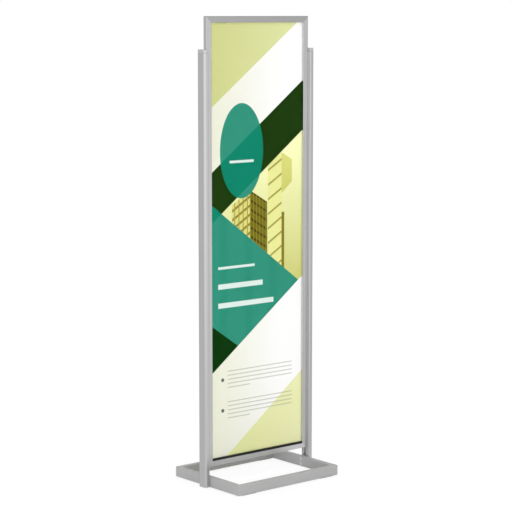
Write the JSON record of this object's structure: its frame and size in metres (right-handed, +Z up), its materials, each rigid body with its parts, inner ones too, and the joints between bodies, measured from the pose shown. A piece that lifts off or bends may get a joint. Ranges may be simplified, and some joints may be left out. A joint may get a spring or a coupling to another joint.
{
  "type": "poster sign stand",
  "caption": "Free-standing double-sided poster stand: a tall slim aluminium slide-in frame between two posts on a flat ring-shaped foot, loaded from above.",
  "frame": {"origin": "on the floor, at the middle of the foot's footprint", "axes": "+Z up, +X along the frame's width, -Y out of the front poster"},
  "size_m": [0.49, 0.35, 1.6],
  "materials": {
    "foot_coating": "satin light grey powder coat",
    "post_aluminium": "silver anodised, satin, fine drawn lines along the bar",
    "frame_aluminium": "silver anodised, satin, fine drawn lines along the bar",
    "post_cap": "satin silver lacquer over a fine moulded texture",
    "foot_plug": "fine moulded texture",
    "hole_plug": "fine moulded texture",
    "zinc_steel": "bright zinc plated",
    "cast_zinc": "die-cast zinc alloy, as cast",
    "edge_bead": "matte black extrusion",
    "floor_pad": "matte",
    "cover": "clear, low-glare",
    "front_poster": null,
    "rear_poster": null,
    "backing_panel": "off-white foamed board"
  },
  "bodies": {
    "stand": {"foot_ring": "foot_coating", "front_left_floor_pad": "floor_pad", "front_right_floor_pad": "floor_pad", "rear_left_floor_pad": "floor_pad", "rear_right_floor_pad": "floor_pad", "left_post": "post_aluminium", "left_post_cap": "post_cap", "left_post_foot_plug": "foot_plug", "left_foot_nut_bar": "zinc_steel", "left_foot_bolt_lower": "zinc_steel", "left_hole_plug_lower": "hole_plug", "left_foot_bolt_upper": "zinc_steel", "left_hole_plug_upper": "hole_plug", "left_stile": "frame_aluminium", "left_frame_screw_lower": "zinc_steel", "left_frame_nut_lower": "zinc_steel", "left_frame_screw_middle": "zinc_steel", "left_frame_nut_middle": "zinc_steel", "left_frame_screw_upper": "zinc_steel", "left_frame_nut_upper": "zinc_steel", "right_post": "post_aluminium", "right_post_cap": "post_cap", "right_post_foot_plug": "foot_plug", "right_foot_nut_bar": "zinc_steel", "right_foot_bolt_lower": "zinc_steel", "right_hole_plug_lower": "hole_plug", "right_foot_bolt_upper": "zinc_steel", "right_hole_plug_upper": "hole_plug", "right_stile": "frame_aluminium", "right_frame_screw_lower": "zinc_steel", "right_frame_nut_lower": "zinc_steel", "right_frame_screw_middle": "zinc_steel", "right_frame_nut_middle": "zinc_steel", "right_frame_screw_upper": "zinc_steel", "right_frame_nut_upper": "zinc_steel", "top_rail": "frame_aluminium", "bottom_rail": "frame_aluminium", "bottom_left_corner_key": "cast_zinc", "top_left_front_corner_plate": "zinc_steel", "top_left_rear_corner_plate": "zinc_steel", "bottom_right_corner_key": "cast_zinc", "top_right_front_corner_plate": "zinc_steel", "top_right_rear_corner_plate": "zinc_steel", "front_edge_bead": "edge_bead", "rear_edge_bead": "edge_bead"},
    "backing_panel_sheet": {"backing_panel": "backing_panel"},
    "front_poster_sheet": {"front_poster": "front_poster"},
    "rear_poster_sheet": {"rear_poster": "rear_poster"},
    "front_cover_sheet": {"front_cover": "cover"},
    "rear_cover_sheet": {"rear_cover": "cover"}
  },
  "joints": [
    {"name": "backing_panel_slide", "type": "slide", "parent": "stand", "child": "backing_panel_sheet", "axis": [0, 0, 1], "range_m": [0, 1.52]},
    {"name": "front_poster_slide", "type": "slide", "parent": "stand", "child": "front_poster_sheet", "axis": [0, 0, 1], "range_m": [0, 1.52]},
    {"name": "rear_poster_slide", "type": "slide", "parent": "stand", "child": "rear_poster_sheet", "axis": [0, 0, 1], "range_m": [0, 1.52]},
    {"name": "front_cover_slide", "type": "slide", "parent": "stand", "child": "front_cover_sheet", "axis": [0, 0, 1], "range_m": [0, 1.52]},
    {"name": "rear_cover_slide", "type": "slide", "parent": "stand", "child": "rear_cover_sheet", "axis": [0, 0, 1], "range_m": [0, 1.52]}
  ]
}
